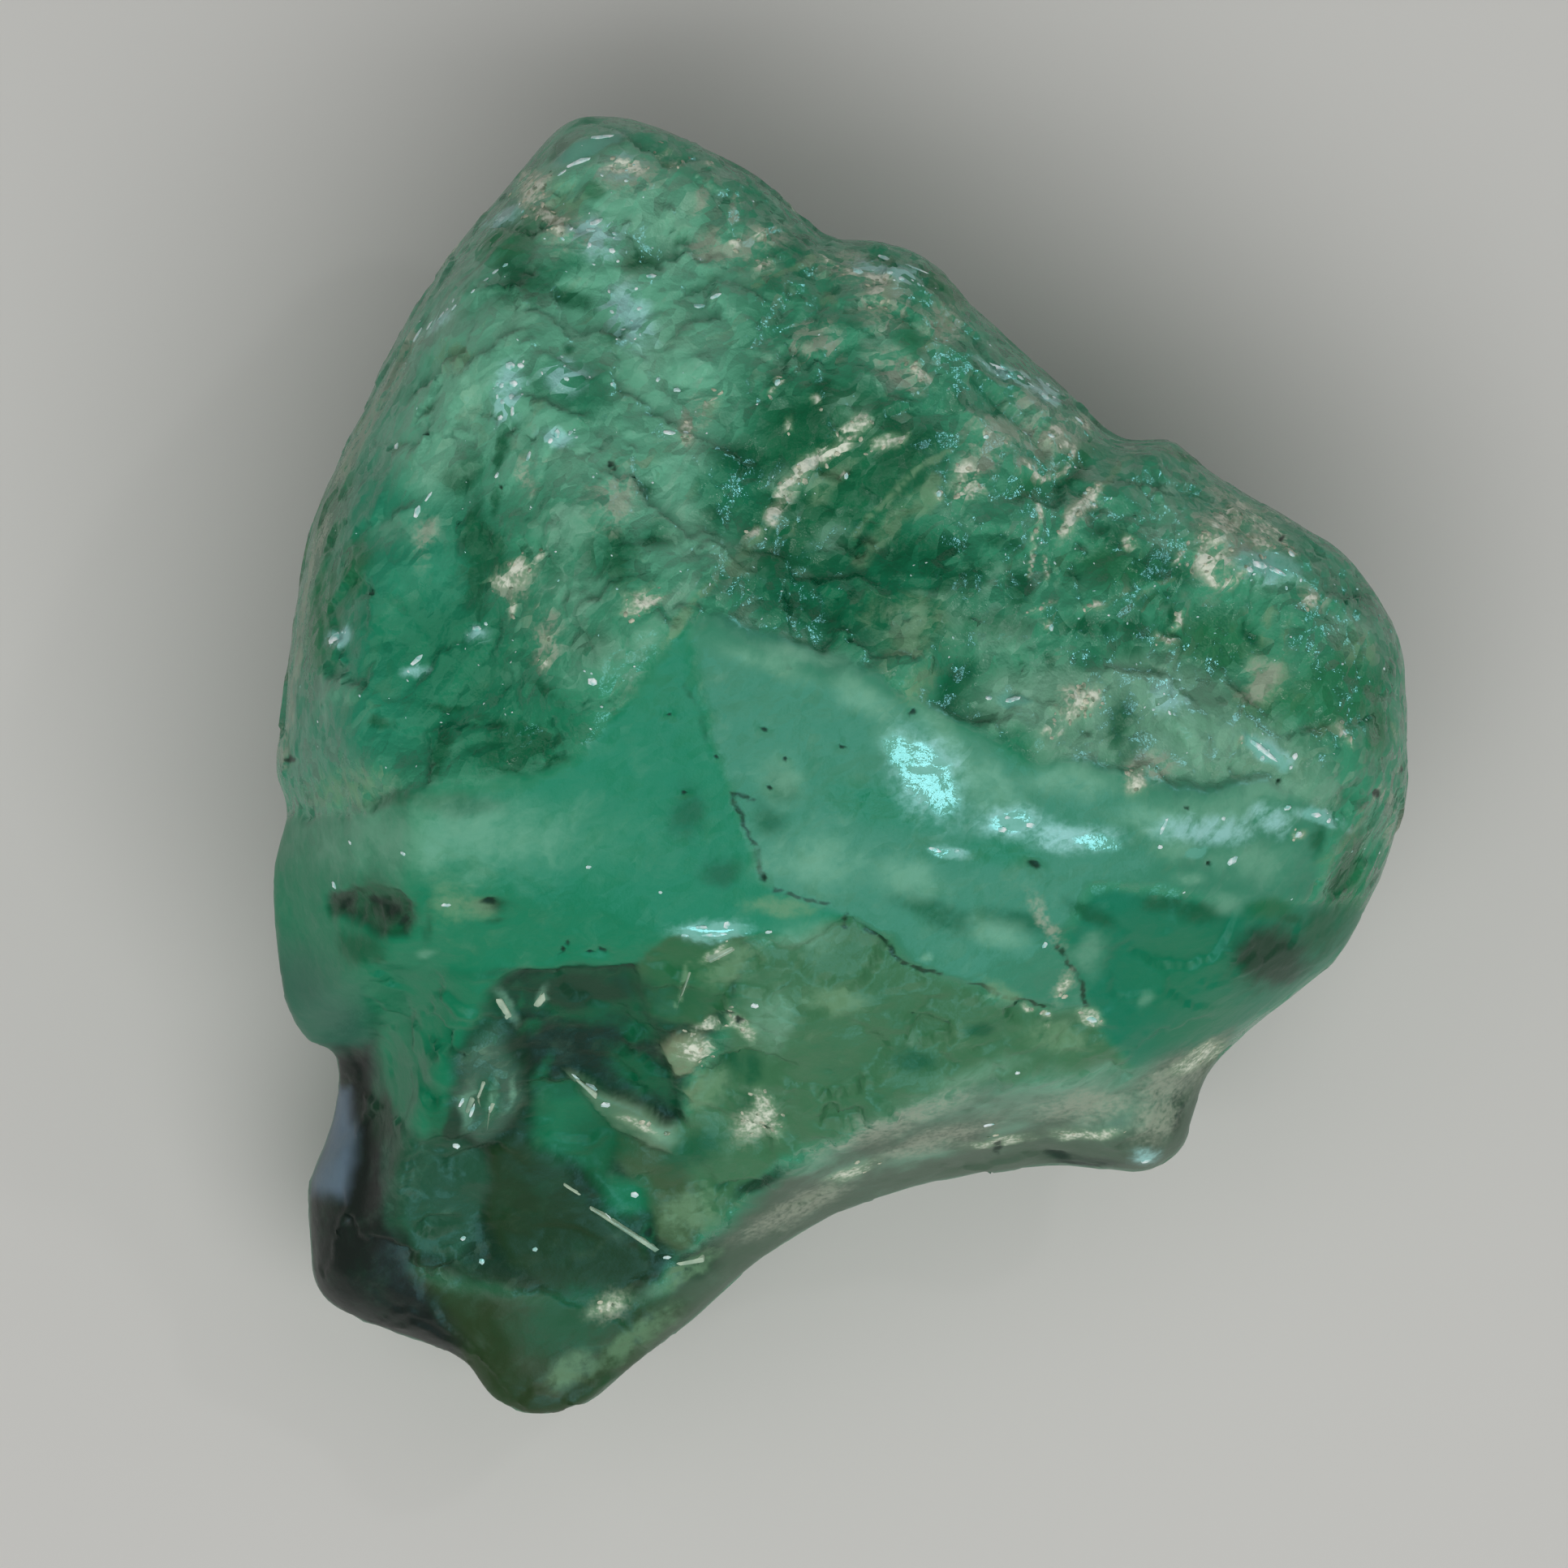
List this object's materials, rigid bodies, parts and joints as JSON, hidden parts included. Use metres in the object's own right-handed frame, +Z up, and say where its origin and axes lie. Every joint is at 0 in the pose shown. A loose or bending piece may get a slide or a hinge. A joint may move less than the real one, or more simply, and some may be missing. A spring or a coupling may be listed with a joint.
{
  "type": "rough emerald",
  "caption": "Uncut piece of cloudy green beryl with broken, shell-like faces, lying on a small flat spot on its back.",
  "frame": {"origin": "centre of the stone's bounding box in X and Y, on the surface it rests on", "axes": "+Y along the stone from its rounded bottom lobe to its tip, +X across it to the side with the nub, +Z up from the flat spot on its back"},
  "size_m": [0.0142, 0.0162, 0.0094],
  "materials": {
    "green_beryl": "gloss"
  },
  "bodies": {
    "root": {"emerald": "green_beryl"}
  },
  "joints": []
}
